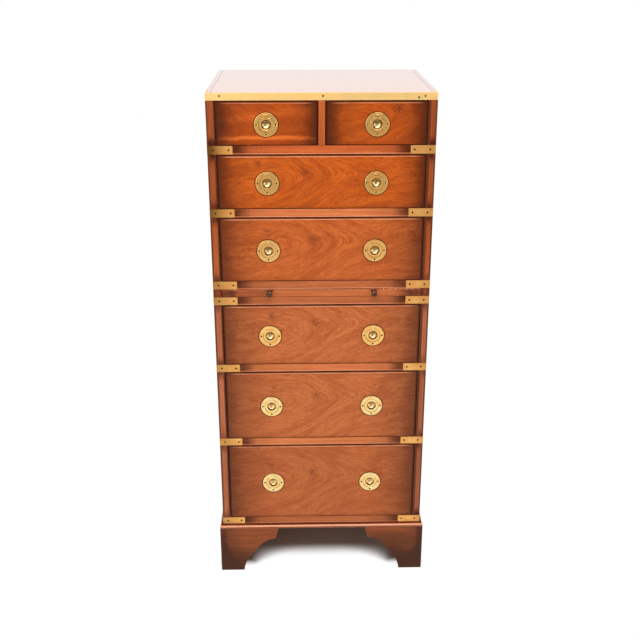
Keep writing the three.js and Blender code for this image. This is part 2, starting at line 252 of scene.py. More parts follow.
def paint(red, green, blue):
    """A colour as it looks on screen, turned into light."""
    parts = [part / 255 for part in (red, green, blue)]
    return [p / 12.92 if p < 0.04045 else ((p + 0.055) / 1.055) ** 2.4 for p in parts] + [1]


def tint(amount, under, over):
    """Lays one colour over another."""
    under, over = [c if isinstance(c, Varying) else paint(*c) for c in (under, over)]
    return amount.lay("Mix", {0: amount, 6: under, 7: over}, 2, data_type="RGBA")


def figure(place, stretch, detail=2, rough=0.5, out="Fac"):
    """Random figure, drawn out by a stretch along each axis; higher is finer."""
    stretch = stretch if isinstance(stretch, tuple) else (stretch,) * 3
    drawn = place.lay("Mapping", {"Vector": place, "Scale": stretch})
    feeds = {"Vector": drawn, "Scale": 1, "Detail": detail, "Roughness": rough}
    return place.lay("TexNoise", feeds, out)


def swayed(place, fineness, reach):
    """The same place, pushed about at random so that straight grain wanders."""
    push = figure(place, fineness, out="Color")
    centred = place.lay("VectorMath", {0: push, 1: (0.5, 0.5, 0.5)}, operation="SUBTRACT")
    feeds = {0: centred, 1: (reach,) * 3, 2: place}
    return place.lay("VectorMath", feeds, operation="MULTIPLY_ADD")


def along_grain(place, grain="X"):
    """A place, turned so that its X runs along the grain."""
    turns = {"X": (0, 0, 0), "Y": (0, 0, math.radians(-90)), "Z": (0, math.radians(90), 0)}
    return place.lay("Mapping", {"Vector": place, "Rotation": turns[grain]})


def feed(finish, **sockets):
    """Feeds or sets the sockets of a finish's shader."""
    shader = finish.node_tree.nodes["Principled BSDF"]
    for socket, value in sockets.items():
        wire(finish.node_tree, shader.inputs[socket.replace("_", " ")], value)


def start_finish(name, **sockets):
    """A new finish, and the place of each point on the piece that carries it."""
    finish = bpy.data.materials.new(name)
    finish.use_nodes = True
    feed(finish, **sockets)
    return finish, lay(finish.node_tree, "TexCoord", {}, "Object")


def complete(finish, colour, clouds, dull, bright, height, strength, distance=0.0001):
    """Gives a finish its colour, a sheen that drifts with the clouds, and a relief."""
    feeds = {"Height": height, "Strength": strength, "Distance": distance}
    feed(finish, Base_Color=colour, Roughness=clouds.fade(0.3, 0.7, dull, bright),
         Normal=height.lay("Bump", feeds))
    return finish


def wood_finish(name, light, dark, burnt, grain="X", line=0.0035, sway=0.01,
                rough=0.32, coat=0.06, burnish=None, pores=0.3, relief=0.25, shine=1.32):
    """Straight-grained wood: drifting lines, broad clouds, pores, and what the burnish rule lays
    on: stained ends, pale chips or painted shade.
    """
    finish, here = start_finish(
        name, Coat_Weight=coat, Coat_Roughness=0.05, IOR=shine, Specular_Tint=warm_sheen)
    place = swayed(along_grain(here, grain), 9, sway)
    lines = figure(place, (7, 1 / line, 1 / line), 4, 0.6)
    clouds = figure(place, (5, 24, 24), 3)
    pore = figure(place, (170, 1900, 1900), 1).fade(0.6, 0.72)
    colour = tint(lines.fade(0.32, 0.68), dark, light)
    colour = tint(clouds.fade(0.62, 0.3) * 0.45, colour, dark)
    colour = tint(pore * pores, colour, burnt)
    if burnish:
        colour = tint(burnish(here), colour, burnt)
    return complete(finish, colour, clouds, rough + 0.05, rough - 0.05, lines * 0.3 - pore, relief)


def foot_darkening(here):
    """Darker towards the outer corners and the floor, most of all on the right foot."""
    side, height = abs(here.axis("X")), here.axis("Z")
    corner = larger(side.fade(0.165, 0.232, 0, 0.42), side.fade(0.207, 0.23, 0, 0.8))
    floor = height.fade(0.088, 0.022, 0, 0.66)
    band = height.fade(0.1, 0.08, 0, 0.24) * height.fade(0.058, 0.072)
    right = (height.fade(0.113, 0.096, 0, 0.34) + band) * here.axis("X").fade(-0.1, 0.1)
    cloud = figure(along_grain(here), 30)
    worn = (larger(corner, right) + floor) * cloud.fade(0.3, 0.7, 0.85, 1.1)
    return worn.reckon("MINIMUM", 0.84)


foot_grain = {"line": 0.007, "sway": 0.02, "rough": 0.36, "burnish": foot_darkening}
foot_finish = wood_finish("stained_mahogany", *foot_stain, **foot_grain)
foot_side_finish = wood_finish("stained_mahogany_side", *foot_stain, grain="Y", **foot_grain)
block_finish = wood_finish("glue_block_pine", (196, 152, 98), (168, 122, 72), (110, 74, 40),
                           grain="Z", line=0.004, rough=0.7, coat=0.0)


def swept(start, pull, end, steps=8):
    """Points of one smooth bend after its start, pulled towards a third point."""
    points = []
    for i in range(1, steps + 1):
        t = i / steps
        parts = zip(start, pull, end)
        points.append([(1 - t) ** 2 * a + 2 * t * (1 - t) * b + t * t * c for a, b, c in parts])
    return points


def bracket_steps(length, height, scrolled):
    """A bracket's lower edge from its toe to its tip: distance along, and height."""
    tip = 1.0 - tip_rise / height
    line = [[plain_share, tip]]
    if scrolled:
        notch, cusp = (0.603, 0.459), (0.956, 0.767)
        line = swept((toe_share, 0.0), (0.426, 0.29), notch) + swept(notch, (0.706, 0.713), cusp)
        line += [[1.0, tip]]
    return [(share * length, rise * height) for share, rise in line]


def bracket_foot(name, node, hand, end):
    """Draws both brackets out of one upright strip, then gives them their thickness."""
    low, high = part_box(node)
    length, height = high.x - low.x, high.z - low.z
    corner_x = high.x if hand > 0 else low.x
    corner_y = high.y if end > 0 else low.y
    toe = toe_share * length
    foot = sheet(name, (corner_x - hand * toe / 2, corner_y, height / 2), toe, height)
    open_up(foot)

    def at(x, y, below=1.0):
        pick(foot, "verts", lambda v: abs(v.co.x - x) < touching and abs(v.co.y - y) < touching
             and v.co.z < below)

    def draw_on(x, y, to_x, to_y, lift):
        at(x, y)
        move = {"value": (to_x - x, to_y - y, 0)}
        bpy.ops.mesh.extrude_region_move(TRANSFORM_OT_translate=move)
        if lift:
            at(to_x, to_y, height - tip_rise / 2)
            bpy.ops.transform.translate(value=(0, 0, lift))

    for along_x, along_y, scrolled in ((hand, 0, end < 0), (0, end, True)):
        x, y, risen = corner_x - along_x * toe, corner_y - along_y * toe, 0.0
        if along_y:
            draw_on(corner_x, corner_y, x, y, 0)
        for along, rise in bracket_steps(length, height, scrolled):
            to_x, to_y = corner_x - along_x * along, corner_y - along_y * along
            draw_on(x, y, to_x, to_y, rise - risen)
            x, y, risen = to_x, to_y, rise
    close_up()
    thicken(foot, bracket_thickness, end)
    ease(foot, bracket_ease, 3)
    smooth(foot, 35)
    dress(foot, foot_finish, "carcass", "foot_wood", node)
    refinish(foot, foot_side_finish, lambda f: abs(f.center.y - corner_y) > bracket_thickness)
    inner, outer = bracket_thickness, bracket_thickness + block_width
    block = board(name + "_glue_block",
                  (corner_x - hand * inner, corner_y - end * inner, block_lift),
                  (corner_x - hand * outer, corner_y - end * outer, height))
    ease(block, block_ease)
    smooth(block)
    dress(block, block_finish, "carcass", "foot_wood")


hands = (("left", -1), ("right", 1))
for side, hand in hands:
    bracket_foot("front_foot_" + side, "foot_front_" + side, hand, -1)
    bracket_foot("back_foot_" + side, "foot_back_" + side, hand, 1)


# Plinth board. A mahogany board between the feet and the carcass, standing out at
# the front and both sides, with its upper edge worked to a round and polished.
plinth_round = 0.0058
plinth_ease = 0.0006
plinth_burnt = (64, 26, 14)

plinth = board("plinth_moulding", *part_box("plinth_board"))
plinth_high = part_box("plinth_board")[1]
open_up(plinth)
pick(plinth, "edges", lambda e: all(v.co.z > plinth_high.z - 1e-4 for v in e.verts)
     and not all(v.co.y > plinth_high.y - 1e-4 for v in e.verts))
bpy.ops.mesh.bevel(offset=plinth_round, segments=8, profile=0.33, affect="EDGES")
close_up()
ease(plinth, plinth_ease)
smooth(plinth)
# Painted highlight: the polished round along the upper edge is painted far paler than the face and
# the darker ledge.
plinth_round_highlight = wood_finish("plinth_painted_highlight", (240, 166, 126), (212, 138, 100), plinth_burnt,
                            line=0.003, rough=0.22, coat=1.0, relief=0.1, shine=1.5)
plinth_face = wood_finish("plinth_face", (146, 80, 54), (118, 60, 38), plinth_burnt, line=0.003)
plinth_ledge = wood_finish(
    "plinth_ledge", (112, 50, 26), (84, 34, 16), plinth_burnt, rough=0.7, coat=0.0, shine=1.1)
dress(plinth, plinth_round_highlight, "carcass", "edge_wood", "plinth_board")
refinish(plinth, plinth_face, lambda f: abs(f.normal.z) < 0.3)
refinish(plinth, plinth_ledge, lambda f: f.normal.z > 0.7)


# Carcass. Two sides, veneered outside and lipped with solid wood at the front, are
# housed for the bottom board, the rail frames and the divider, and rebated for the
# back. Only the lippings and front rails are show wood; the rest is plain pine.
arris = 0.0008
side_arris = 0.0005
arris_strip = 0.0021
front_rail_depth = 0.045
runner_reach = 0.17
inner_x = 0.2125
side_housing = 0.007
rail_light = (216, 127, 73)
rail_dark = (186, 98, 54)
rail_stain_and_shade = (66, 20, 4)
pine = ((206, 164, 108), (180, 134, 82), (120, 80, 44))


def placed(name, data):
    """Brings something new into the scene."""
    thing = bpy.data.objects.new(name, data)
    bpy.context.scene.collection.objects.link(thing)
    return thing


def eased_copy(node, name, width):
    """A copy of one piece of the frame, merged, tidied and with its arrises eased."""
    piece = placed(name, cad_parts[node].data.copy())
    only(piece)
    bpy.ops.mesh.customdata_custom_splitnormals_clear()
    open_up(piece)
    pick_all()
    bpy.ops.mesh.remove_doubles(threshold=touching)
    bpy.ops.mesh.dissolve_limited(angle_limit=math.radians(0.5))
    close_up()
    if width:
        ease(piece, width, angle=30)
    smooth(piece)
    return piece


def slice_at(piece, axis, *places):
    """Scores a piece right through across an axis, without parting it."""
    open_up(piece)
    for place in places:
        point, normal = Vector(), Vector()
        point[axis], normal[axis] = place, 1
        pick_all()
        bpy.ops.mesh.bisect(plane_co=point, plane_no=normal)
    close_up()


def lay_map(piece, name, rule):
    """Gives a piece a map of its own, worked out from the place of each corner."""
    layer = piece.data.uv_layers.new(name=name)
    for loop in piece.data.loops:
        layer.data[loop.index].uv = rule(piece.data.vertices[loop.vertex_index].co)


def rail_burnish(here):
    """Stain left dark at the ends of a rail, next to the brass, and uneven between."""
    side = abs(here.axis("X"))
    ends = larger(side.fade(0.082, 0.15, 0, 0.24), side.fade(0.128, 0.176, 0, 0.97))
    cloud = figure(along_grain(here), (26, 90, 90), 3)
    return ends * cloud.fade(0.25, 0.65, 0.8, 1)


def stile_shading(here):
    """Painted shade: dark lines down both edges of a stile, at the outer corner and at the gap by
    the drawers, and broad shade darker high up, low down and on the right; also dark patches by the
    straps.
    """
    side, height = abs(here.axis("X")), here.axis("Z")
    right = here.axis("X").fade(-0.1, 0.1)
    edges = larger(side.fade(0.225, 0.2272, 0, 0.8), side.fade(0.2164, 0.2144, 0, 0.88),
                   side.fade(0.2186, 0.2164, 0, 0.8) * right)
    lower = height.fade(0.38, 0.26, 0, 0.12) + right * height.fade(0.66, 0.46, 0, 0.18)
    upper = height.fade(0.7, 0.9, 0, 0.36)
    cloud = figure(along_grain(here, "Z"), (16, 60, 60), 3)
    gap = here.lay("UVMap", {}, uv_map="from_strap").axis("X")
    near = gap.fade(0.034, 0.01) * cloud.fade(0.3, 0.6, 0.3, 0.8)
    return larger(edges, near + upper + lower)


rail_grain = {"line": 0.0028, "sway": 0.006}
stained_rail = {"rough": 0.3, "burnish": rail_burnish, **rail_grain}
stile_grain_and_shade = {"grain": "Z", "rough": 0.3, "burnish": stile_shading, **rail_grain}
pine_grain = {"line": 0.006, "sway": 0.02, "rough": 0.7, "coat": 0.0}
rail_finish = wood_finish("rail_mahogany", rail_light, rail_dark, rail_stain_and_shade, **stained_rail)
rail_deep = wood_finish("rail_deep", (196, 98, 48), (168, 76, 34), rail_stain_and_shade, **stained_rail)
rail_dull = wood_finish("rail_dull", (189, 106, 60), (162, 83, 44), rail_stain_and_shade, **stained_rail)
rail_plain = wood_finish("rail_plain", rail_light, rail_dark, rail_stain_and_shade, rough=0.3, **rail_grain)
# One wood in two tones: stile_upper is painted darker as shade high up, stile_lower paler as a
# painted sheen lower down.
stile_upper = wood_finish("stile_upper", (184, 94, 46), (152, 70, 30), rail_stain_and_shade, **stile_grain_and_shade)
stile_lower = wood_finish("stile_lower", (186, 108, 71), (156, 82, 49), rail_stain_and_shade, **stile_grain_and_shade)
muntin_finish = wood_finish("muntin_mahogany", (184, 94, 44), (154, 70, 30), rail_stain_and_shade,
                            grain="Z", rough=0.3, **rail_grain)
# Painted highlight: a pale strip along the lower arris of each rail, for the light it catches from
# the bright floor.
arris_highlight_finish = wood_finish("painted_arris_highlight", (232, 156, 114), (206, 118, 74), rail_dark,
                           rough=0.24, coat=0.5, burnish=rail_burnish, **rail_grain)
side_finish = wood_finish("side_veneer", (200, 104, 50), (164, 76, 32), (74, 28, 12),
                          grain="Z", line=0.0045, sway=0.016, rough=0.36, coat=0.04)
pine_finish = wood_finish("carcass_pine", *pine, **pine_grain)
runner_finish = wood_finish("runner_pine", *pine, grain="Y", **pine_grain)

front_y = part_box("rail_frame_2")[0].y
rail_back = front_y + front_rail_depth
rail_nodes = ["bottom_board"] + [f"rail_frame_{number}" for number in range(1, 7)]
rail_stains = (rail_dull, rail_deep, rail_finish, rail_dull, rail_dull, rail_finish, rail_finish)
strap_levels = []
for node, rail_stain in zip(rail_nodes, rail_stains):
    rail = eased_copy(node, node.replace("rail_frame", "rail") + "_eased", arris)
    rail_low, rail_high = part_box(node)
    strap_levels.append((rail_low.z + rail_high.z) / 2)
    strip_top = rail_low.z + arris_strip
    slice_at(rail, 1, rail_back)
    slice_at(rail, 2, strip_top)
    dress(rail, rail_plain, "carcass", "edge_wood", node)
    refinish(rail, rail_stain, lambda f: f.normal.y < -0.3)
    refinish(rail, runner_finish, lambda f: f.center.y > rail_back)
    refinish(rail, pine_finish, lambda f: f.center.y > rail_back
             and abs(f.center.x) < runner_reach)
    # The lowest strip of each rail's front gets the painted highlight.
    refinish(rail, arris_highlight_finish, lambda f: f.center.y < front_y + 0.002 and f.center.z < strip_top)

strap_levels.sort()
row_middles = [(a + b) / 2 for a, b in zip(strap_levels, strap_levels[1:])]
slide_low, slide_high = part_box("brushing_slide")


def on_lipping(face):
    return face.normal.y < -0.3 and face.center.y < front_y + 0.003


for side, hand in hands:
    cheek = eased_copy("side_" + side, "cheek_" + side, side_arris)
    slice_at(cheek, 2, *strap_levels, *row_middles)
    lay_map(cheek, "from_strap", lambda co: (min(abs(co.z - level) for level in strap_levels), 0))
    dress(cheek, side_finish, "carcass", "veneer", "side_" + side)
    refinish(cheek, pine_finish, lambda f: hand * f.normal.x < -0.5
             or abs(f.center.x) < inner_x + side_housing)
    refinish(cheek, stile_upper, lambda f: on_lipping(f) and f.center.z > slide_low.z)
    refinish(cheek, stile_lower, lambda f: on_lipping(f) and f.center.z < slide_low.z)

muntin = eased_copy("divider", "divider_eased", arris)
slice_at(muntin, 1, rail_back)
dress(muntin, muntin_finish, "carcass", "edge_wood", "divider")
refinish(muntin, pine_finish, lambda f: f.center.y > rail_back)


# Back. Upright pine boards with a small bead of shadow at each joint, fixed in the
# rebates of the sides and stained a little, as the backs of such chests are.
back_board_width = 0.0885
back_joint = 0.0012

back = board("back_boards", *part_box("back_panel"))
back_low, back_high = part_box("back_panel")
back_width = back_high.x - back_low.x
boards = round(back_width / back_board_width)
joint_xs = [back_low.x + back_width * number / boards for number in range(1, boards)]
slice_at(back, 0, *joint_xs)


def on_back_joint(edge):
    start, end = edge.verts
    upright = abs(start.co.x - end.co.x) < touching and abs(start.co.y - end.co.y) < touching
    inside = back_low.x + 1e-3 < start.co.x < back_high.x - 1e-3
    return upright and inside and start.co.y > back_high.y - touching


open_up(back)
pick(back, "edges", on_back_joint)
bpy.ops.mesh.bevel(offset=back_joint, segments=2, affect="EDGES")
pick(back, "verts", lambda v: v.co.y > back_high.y - touching
     and any(abs(v.co.x - x) < touching for x in joint_xs))
bpy.ops.transform.translate(value=(0, -back_joint, 0))
close_up()
smooth(back, 20)
back_finish = wood_finish("back_pine", (182, 138, 88), (150, 108, 64), (92, 60, 34),
                          grain="Z", line=0.007, sway=0.03, rough=0.75, coat=0.0)
dress(back, back_finish, "carcass", "back_wood", "back_panel")


# Top. A veneered board with a narrow band of cross-cut veneer round its edge and a
# thin dark line inside that, polished until it mirrors whatever stands behind it.
top_ease = 0.0004
crossband_width = 0.0102
line_width = 0.0009
edge_x = 0.23
top_burnt = (84, 38, 24)

top = eased_copy("top_board", "top_veneered", top_ease)
top_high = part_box("top_board")[1]
line_out = edge_x - crossband_width
line_in = line_out - line_width
back_out = top_high.y - crossband_width
back_in = back_out - line_width
slice_at(top, 0, line_out, -line_out, line_in, -line_in)
slice_at(top, 1, back_out, back_in)
# The top and its crossbanding are painted paler than the fronts: partly their own tone, partly a
# painted sheen for the glare of the polish.
top_finish = wood_finish("top_veneer", (206, 124, 84), (184, 100, 62), top_burnt,
                         line=0.006, sway=0.03, rough=0.07, coat=1.0, relief=0.03, shine=1.5)
crossband_side, crossband_back = [
    wood_finish("crossband_" + side, (200, 118, 80), (170, 92, 58), top_burnt, grain=grain,
                line=0.004, sway=0.004, rough=0.1, coat=0.9, relief=0.05, shine=1.5)
    for side, grain in (("side", "X"), ("back", "Y"))]
dark_line = wood_finish("dark_line", (62, 34, 26), (40, 22, 18), (20, 12, 10),
                        line=0.002, rough=0.3, coat=0.35, relief=0.05)
dress(top, top_finish, "carcass", "veneer", "top_board")
refinish(top, dark_line, lambda f: f.normal.z > 0.5 and f.center.z > top_high.z - 1e-4
         and (line_in < abs(f.center.x) < line_out or back_in < f.center.y < back_out))
refinish(top, crossband_side, lambda f: abs(f.center.x) > line_out)
refinish(top, crossband_back, lambda f: f.center.y > back_out and abs(f.center.x) < line_out)


# Brass. The band round the front of the top, the straps over the corners and their
# screws are plain rolled brass, lacquered, and rubbed and scratched with use.
band_ease = 0.0005
strap_thickness = 0.0011
strap_proud = 0.0003
strap_length = 0.051
strap_height = 0.0172
strap_corner = 0.0023
strap_ease = 0.0002
strap_holes = {"outer": 0.012, "inner": 0.043}
screw_radius = 0.0021
screw_depth = 0.0012
screw_gap = 0.0003
screw_set = 0.0002
hole_depth = 0.0009
brass_tarnish_and_shade = (120, 78, 34)


def brass_finish(name, light, dark, tarnish_and_shade, rough, shade_rule=None):
    """Rolled brass: fine draw lines, cloudy tarnish, hair scratches, and painted shade where a rule
    for it is given.
    """
    finish, here = start_finish(name, Metallic=1.0)
    place = along_grain(here)
    drawn = figure(place, (60, 2600, 2600))
    clouds = figure(place, (45, 60, 60), 4, 0.6)
    spots = figure(place, 420, 3, 0.6)
    colour = tint(clouds.fade(0.3, 0.7), dark, light)
    colour = tint(spots.fade(0.62, 0.78) * 0.3, colour, tarnish_and_shade)
    if shade_rule:
        colour = tint(shade_rule(here), colour, tarnish_and_shade)
    return complete(finish, colour, clouds, rough + 0.08, rough - 0.04,
                    drawn * 0.4 - spots, 0.06, 0.00003)


def discard(*pieces):
    for piece in pieces:
        bpy.data.objects.remove(piece, do_unlink=True)


def join_solid(piece, other, operation):
    """Cuts another solid out of a piece, or welds it on, and uses it up."""
    work(piece, "BOOLEAN", operation=operation, solver="EXACT", object=other)
    discard(other)


def cut(piece, cutter):
    join_solid(piece, cutter, "DIFFERENCE")


def copied(piece, name, offset, mirrored=False):
    """A copy of a finished piece with a mesh of its own, moved to its place."""
    twin = placed(name, piece.data.copy())
    twin.location = offset
    if mirrored:
        twin.scale = (-1, 1, 1)
    settle(twin)
    if mirrored:
        seal(twin)
    return twin


def disc(name, radius, low_y, high_y, x=0, z=0, sides=72):
    """A round bar along the Y axis, from one depth to another."""
    return fresh(name, bpy.ops.mesh.primitive_cylinder_add, vertices=sides, radius=radius,
                 depth=high_y - low_y, location=(x, (low_y + high_y) / 2, z), rotation=stood_up)


def countersunk_screw(name, radius, depth, turn):
    """A slotted screw head, face forward at the origin, with its slot turned."""
    screw = disc(name, radius, 0, depth, sides=20)
    open_up(screw)
    pick(screw, "faces", lambda f: f.normal.y < -0.9)
    bpy.ops.mesh.inset(thickness=radius * 0.22, depth=radius * 0.05)
    close_up()
    width = radius * 0.13
    slot = board("slot", (-2 * radius, -depth, -width), (2 * radius, depth * 0.4, width))
    slot.rotation_euler = (0, turn, 0)
    settle(slot)
    cut(screw, slot)
    smooth(screw, 30)
    return screw


def screw_hole(radius, depth, place):
    """A cone that sinks a hole for a screw head into a face that looks forward."""
    return fresh("hole", bpy.ops.mesh.primitive_cone_add, vertices=24, radius1=0,
                 radius2=2 * radius, depth=2 * depth, location=place, rotation=stood_up)


def strap_shade(here):
    """Painted shade: the straps darken towards the corner of the carcass, most of all on the upper
    left.
    """
    across = here.axis("X")
    left = across.fade(-0.18, -0.232, 0, 0.46) * here.axis("Z").fade(0.6, 1, 0.9, 2.3)
    return larger(left, across.fade(0.195, 0.232, 0, 0.22))


band_finish = brass_finish("band_brass", (255, 218, 146), (252, 202, 128), brass_tarnish_and_shade, 0.46)
strap_finish = brass_finish(
    "strap_brass", (250, 188, 110), (230, 162, 87), brass_tarnish_and_shade, 0.38, shade_rule=strap_shade)
screw_finish = brass_finish("screw_brass", (76, 48, 26), (50, 30, 18), (30, 20, 12), 0.5)


def drive_screw(name, place, body):
    dress(copied(screw_pattern, name, place), screw_finish, body, "brass")


band = eased_copy("top_band", "top_band_eased", band_ease)
dress(band, band_finish, "carcass", "brass", "top_band")


def corner_strap(name):
    """A strip bent round the corner of the carcass, with two holes in its front."""
    outer = edge_x + strap_proud
    face_y = front_y - strap_proud
    bend_x, inner_end = outer - strap_corner, edge_x - strap_length
    strap = sheet(name, ((bend_x + inner_end) / 2, face_y, 0), bend_x - inner_end, strap_height)
    open_up(strap)
    pick(strap, "verts", lambda v: v.co.x > bend_x - touching)
    bpy.ops.mesh.spin(steps=6, angle=math.radians(-90), axis=(0, 0, 1),
                      center=(bend_x, face_y + strap_corner, 0))
    pick(strap, "verts", lambda v: v.co.x > outer - touching)
    back_by = {"value": (0, strap_length - strap_corner, 0)}
    bpy.ops.mesh.extrude_region_move(TRANSFORM_OT_translate=back_by)
    close_up()
    thicken(strap, strap_thickness, -1)
    for distance in strap_holes.values():
        place = (edge_x - distance, face_y, 0)
        cut(strap, screw_hole(screw_radius + screw_gap, hole_depth, place))
    ease(strap, strap_ease, 2, 30)
    smooth(strap, 30)
    return strap


strap_pattern = corner_strap("strap_pattern")
screw_pattern = countersunk_screw("screw_pattern", screw_radius, screw_depth, math.radians(35))
for node in rail_nodes:
    middle_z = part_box(node)[1].z - strap_height / 2
    level = node.replace("rail_frame_", "rail_").replace("_board", "")
    for side, hand in hands:
        name = f"strap_{level}_{side}"
        strap = copied(strap_pattern, name, (0, 0, middle_z), mirrored=hand < 0)
        dress(strap, strap_finish, "carcass", "brass")
        for place, distance in strap_holes.items():
            offset = (hand * (edge_x - distance), front_y - screw_set, middle_z)
            drive_screw(f"{name}_screw_{place}", offset, "carcass")

band_screws = ((-0.2015, 1.1086), (0.0023, 1.1083), (0.1918, 1.105), (0.2047, 1.1078))
for number, (x, z) in enumerate(band_screws, 1):
    drive_screw(f"band_screw_{number}", (x, front_y - screw_set, z), "carcass")
discard(strap_pattern)


# Brushing slide. A polished board that draws out under the third row, with two
# small turned knobs of dark bronze whose spigots are glued into its front edge.
slide_ease = 0.0004
chip_strip = 0.0016
knob_offset = 0.111
knob_radius = 0.0064
knob_neck = 0.0034
knob_reach = 0.013
knob_head = 0.008


def slide_burnish(here):
    """Dark ends, and a dark patch above each knob."""
    across = here.axis("X")
    above = here.axis("Z").fade(0.6985, 0.701, 0, 0.92)
    patch = abs(abs(across) - knob_offset).fade(0.0084, 0.0058) * above
    ends = larger(across.fade(-0.16, -0.192, 0, 0.88), across.fade(0.146, 0.188, 0, 0.86),
                  across.fade(-0.08, -0.125, 0, 0.42))
    cloud = figure(along_grain(here), (60, 160, 160), 3)
    return larger(patch, ends * cloud.fade(0.3, 0.6, 0.75, 1))


def edge_chips(here):
    """Small pale chips along an edge that hands have worn, most of them at the ends."""
    often = abs(here.axis("X")).fade(0.07, 0.17, 0.25, 0.85)
    return figure(here, 330, 2, 0.6).fade(0.56, 0.64) * often


slide_finish = wood_finish("slide_front", (197, 109, 59), (170, 86, 45), rail_stain_and_shade,
                           line=0.003, sway=0.006, rough=0.3, burnish=slide_burnish)
shelf_finish = wood_finish("slide_mahogany", rail_light, rail_dark, rail_stain_and_shade,
                           line=0.006, sway=0.02, rough=0.24, coat=0.3)
chipped_finish = wood_finish("chipped_edge", rail_dark, (140, 66, 34), (236, 190, 160),
                             rough=0.4, burnish=edge_chips, pores=0.0, **rail_grain)
shelf = eased_copy("brushing_slide", "slide_board", slide_ease)
chip_line = slide_high.z - chip_strip
slice_at(shelf, 2, chip_line)
dress(shelf, shelf_finish, "slide", "front_veneer", "brushing_slide")
refinish(shelf, slide_finish, lambda f: f.normal.y < -0.5)
refinish(shelf, chipped_finish, lambda f: f.center.z > chip_line and f.normal.y < -0.5)


def turned(name, profile, sides):
    """Turns a profile of (radius, depth) about the Y axis, ring after ring."""
    radius, depth = profile[0]
    piece = fresh(name, bpy.ops.mesh.primitive_circle_add, vertices=sides, radius=radius,
                  fill_type="NOTHING", location=(0, depth, 0), rotation=stood_up)
    open_up(piece)
    pick_all()
    for next_radius, next_depth in profile[1:]:
        move = {"value": (0, next_depth - depth, 0)}
        bpy.ops.mesh.extrude_edges_move(TRANSFORM_OT_translate=move)
        share = next_radius / radius
        bpy.ops.transform.resize(value=(share, 1, share), center_override=(0, next_depth, 0))
        radius, depth = next_radius, next_depth
    for end_radius, end_depth in (profile[0], profile[-1]):
        if end_radius < touching:
            pick(piece, "verts", lambda v: abs(v.co.y - end_depth) < 1e-7
                 and abs(math.hypot(v.co.x, v.co.z) - end_radius) < 1e-7)
            bpy.ops.mesh.merge(type="CENTER")
    close_up()
    seal(piece)
    return piece


head_line = []
for step in range(13):
    turn = math.pi * step / 12
    radius = max(knob_radius * math.sin(turn), 1e-6)
    if step < 6 or radius > knob_neck:
        head_line.append((radius, knob_head / 2 * (1 - math.cos(turn)) - knob_reach))
knob_profile = head_line + [
    (knob_neck, -0.005), (0.003, -0.004), (0.0032, -0.0026), (0.004, -0.0019),
    (0.0045, -0.0016), (0.0046, -0.001), (0.0046, -0.0003), (0.0022, -0.0003),
    (0.0022, 0.012), (1e-6, 0.012)]
knob_pattern = turned("knob_pattern", knob_profile, 32)
smooth(knob_pattern, 50)


def bronze_finish():
    """Brown patina over bronze, lighter and darker in drifting clouds."""
    finish, here = start_finish("knob_bronze", Metallic=0.85)
    clouds = figure(here, 320, 3)
    colour = tint(clouds.fade(0.35, 0.7), (64, 44, 34), (112, 84, 66))
    return complete(finish, colour, clouds, 0.42, 0.28, clouds, 0.2)


knob_finish = bronze_finish()
for side, hand in hands:
    node = "slide_knob_" + side
    low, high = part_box(node)
    place = ((low.x + high.x) / 2, front_y, (low.z + high.z) / 2)
    dress(copied(knob_pattern, "bronze_knob_" + side, place), knob_finish, "slide", "bronze", node)
discard(knob_pattern)


# Drawer boxes. Linings of pale hardwood, dovetailed into the front at each side,
# with the bottom let into a groove and its grain running from side to side.
lining_ease = 0.0003
lining_side_width = 0.011
lining = ((212, 172, 112), (184, 140, 84), (126, 88, 48))
lining_side = wood_finish(
    "lining_side", *lining, grain="Y", line=0.005, sway=0.012, rough=0.55, coat=0.0)
lining_across = wood_finish("lining_across", *lining, line=0.006, sway=0.015, rough=0.55, coat=0.0)
drawer_bodies = ["drawer_1_left", "drawer_1_right"] + [f"drawer_{row}" for row in range(2, 7)]
for body in drawer_bodies:
    node = body + "_box"
    low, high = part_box(node)
    box = eased_copy(node, body + "_linings", lining_ease)
    dress(box, lining_side, body, "lining_wood", node)
    refinish(box, lining_across, lambda f: abs(f.normal.x) < 0.5
             and low.x + lining_side_width < f.center.x < high.x - lining_side_width)


# Drawer fronts. Solid fronts faced with knife-cut veneer, leaf after leaf from one
# log, so that the same knots and arches come back in each drawer. The stain is
# left dark at the ends, painted shade darkens the edges and the eased arrises, and
# a painted highlight runs just below the top arris.
housing_radius = 0.02445
housing_depth = 0.0041
veneer_depth = 0.0012
front_arris = 0.0004
handle_radius = 0.024
handle_offset = 0.111
front_light = (206, 98, 28)
front_dark = (168, 70, 14)
front_deep = (132, 48, 8)
pale_light = (208, 123, 72)
pale_dark = (174, 91, 48)
front_stain_and_shade = (58, 16, 2)
top_edge_highlight_colour = (228, 152, 112)
knot_dark = (84, 38, 20)
streak_light = (228, 112, 42)


def mound(place, centre, height, reach):
    """A soft mound in the figure, round which the grain has to bend."""
    share = place.lay("VectorMath", {0: place, 1: centre}, 1, operation="DISTANCE") / reach
    fall = (share * share * -1).reckon("EXPONENT")
    return fall * height, fall


def joined(x, y, z):
    return x.lay("CombineXYZ", {0: x, 1: y, 2: z})


